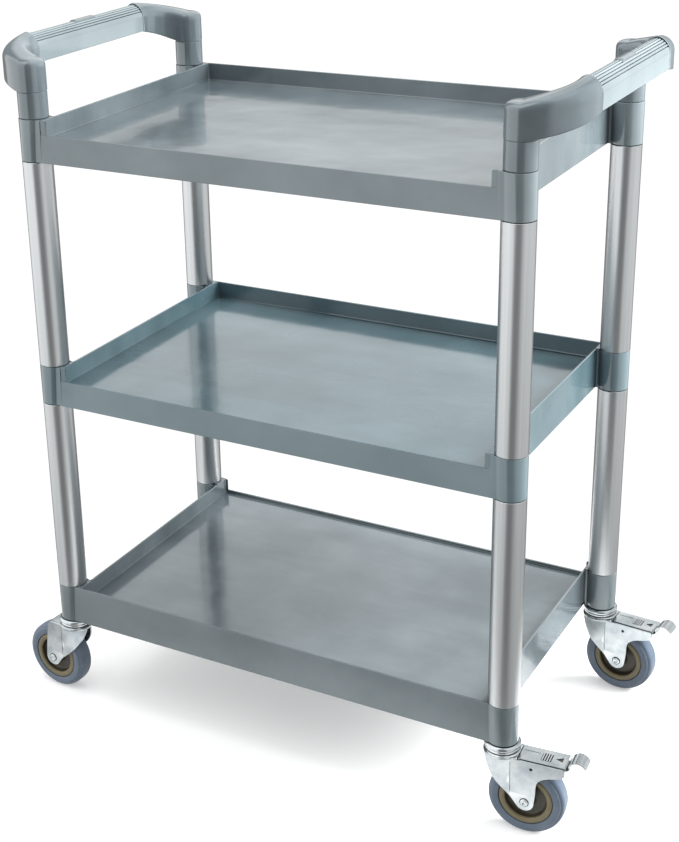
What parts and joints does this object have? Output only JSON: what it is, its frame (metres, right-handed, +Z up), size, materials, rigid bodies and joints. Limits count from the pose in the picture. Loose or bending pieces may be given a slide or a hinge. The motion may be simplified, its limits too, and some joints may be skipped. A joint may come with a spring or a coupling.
{
  "type": "food service trolley",
  "caption": "Utility cart with moulded trays on round posts, a push handle at each end and swivel casters, some with foot brakes.",
  "frame": {"origin": "on the floor, under the middle of the trays, where the four post axes' rectangle is centred", "axes": "+X along the long side, towards the end whose casters have brakes; +Y from the side where the top and middle trays are open to the side where the bottom tray is; +Z up"},
  "size_m": [0.8494, 0.4192, 0.9451],
  "materials": {
    "grey_plastic": "glossy blue-grey moulded polypropylene",
    "aluminium": "satin anodised tube",
    "zinc": "bright zinc-plated pressed steel",
    "tyre_rubber": "smooth grey-blue non-marking rubber",
    "wheel_centre": "tan moulded plastic"
  },
  "bodies": {
    "frame": {"top_tray": "grey_plastic", "middle_tray": "grey_plastic", "bottom_tray": "grey_plastic", "upper_post_front_left": "aluminium", "upper_post_front_right": "aluminium", "upper_post_back_right": "aluminium", "upper_post_back_left": "aluminium", "lower_post_front_left": "aluminium", "lower_post_front_right": "aluminium", "lower_post_back_right": "aluminium", "lower_post_back_left": "aluminium", "handle_elbow_front_left": "grey_plastic", "handle_elbow_front_right": "grey_plastic", "handle_elbow_back_right": "grey_plastic", "handle_elbow_back_left": "grey_plastic", "handle_grip_left": "grey_plastic", "handle_grip_right": "grey_plastic", "caster_stem_front_left": "zinc", "stem_nut_front_left": "zinc", "caster_stem_front_right": "zinc", "stem_nut_front_right": "zinc", "caster_stem_back_right": "zinc", "stem_nut_back_right": "zinc", "caster_stem_back_left": "zinc", "stem_nut_back_left": "zinc"},
    "yoke_front_left": {"swivel_race_front_left": "zinc", "caster_yoke_front_left": "zinc", "axle_rivet_front_left": "zinc", "axle_bush_front_left": "zinc"},
    "wheel_front_left": {"wheel_centre_front_left": "wheel_centre", "tyre_front_left": "tyre_rubber"},
    "yoke_front_right": {"swivel_race_front_right": "zinc", "caster_yoke_front_right": "zinc", "axle_rivet_front_right": "zinc", "axle_bush_front_right": "zinc", "brake_cover_front_right": "zinc"},
    "wheel_front_right": {"wheel_centre_front_right": "wheel_centre", "tyre_front_right": "tyre_rubber"},
    "brake_front_right": {"brake_lever_front_right": "zinc", "brake_shoe_front_right": "zinc"},
    "yoke_back_right": {"swivel_race_back_right": "zinc", "caster_yoke_back_right": "zinc", "axle_rivet_back_right": "zinc", "axle_bush_back_right": "zinc", "brake_cover_back_right": "zinc"},
    "wheel_back_right": {"wheel_centre_back_right": "wheel_centre", "tyre_back_right": "tyre_rubber"},
    "brake_back_right": {"brake_lever_back_right": "zinc", "brake_shoe_back_right": "zinc"},
    "yoke_back_left": {"swivel_race_back_left": "zinc", "caster_yoke_back_left": "zinc", "axle_rivet_back_left": "zinc", "axle_bush_back_left": "zinc"},
    "wheel_back_left": {"wheel_centre_back_left": "wheel_centre", "tyre_back_left": "tyre_rubber"}
  },
  "joints": [
    {"name": "swivel_front_left", "type": "hinge", "parent": "frame", "child": "yoke_front_left", "pos_m": [-0.328, -0.185, 0.1235], "axis": [0, 0, 1], "continuous": true},
    {"name": "wheel_spin_front_left", "type": "hinge", "parent": "yoke_front_left", "child": "wheel_front_left", "pos_m": [-0.36291, -0.18256, 0.0495], "axis": [-0.0698, -0.9976, 0], "continuous": true},
    {"name": "swivel_front_right", "type": "hinge", "parent": "frame", "child": "yoke_front_right", "pos_m": [0.328, -0.185, 0.1235], "axis": [0, 0, 1], "continuous": true},
    {"name": "wheel_spin_front_right", "type": "hinge", "parent": "yoke_front_right", "child": "wheel_front_right", "pos_m": [0.36287, -0.18195, 0.0495], "axis": [-0.0872, 0.9962, 0], "continuous": true},
    {"name": "brake_pedal_front_right", "type": "hinge", "parent": "yoke_front_right", "child": "brake_front_right", "pos_m": [0.36984, -0.18134, 0.1], "axis": [-0.0872, 0.9962, 0], "range_deg": [0, 6.8]},
    {"name": "swivel_back_right", "type": "hinge", "parent": "frame", "child": "yoke_back_right", "pos_m": [0.328, 0.185, 0.1235], "axis": [0, 0, 1], "continuous": true},
    {"name": "wheel_spin_back_right", "type": "hinge", "parent": "yoke_back_right", "child": "wheel_back_right", "pos_m": [0.36291, 0.18256, 0.0495], "axis": [0.0698, 0.9976, 0], "continuous": true},
    {"name": "brake_pedal_back_right", "type": "hinge", "parent": "yoke_back_right", "child": "brake_back_right", "pos_m": [0.3699, 0.18207, 0.1], "axis": [0.0698, 0.9976, 0], "range_deg": [0, 6.8]},
    {"name": "swivel_back_left", "type": "hinge", "parent": "frame", "child": "yoke_back_left", "pos_m": [-0.328, 0.185, 0.1235], "axis": [0, 0, 1], "continuous": true},
    {"name": "wheel_spin_back_left", "type": "hinge", "parent": "yoke_back_left", "child": "wheel_back_left", "pos_m": [-0.36266, 0.18987, 0.0495], "axis": [-0.1392, -0.9903, 0], "continuous": true}
  ]
}
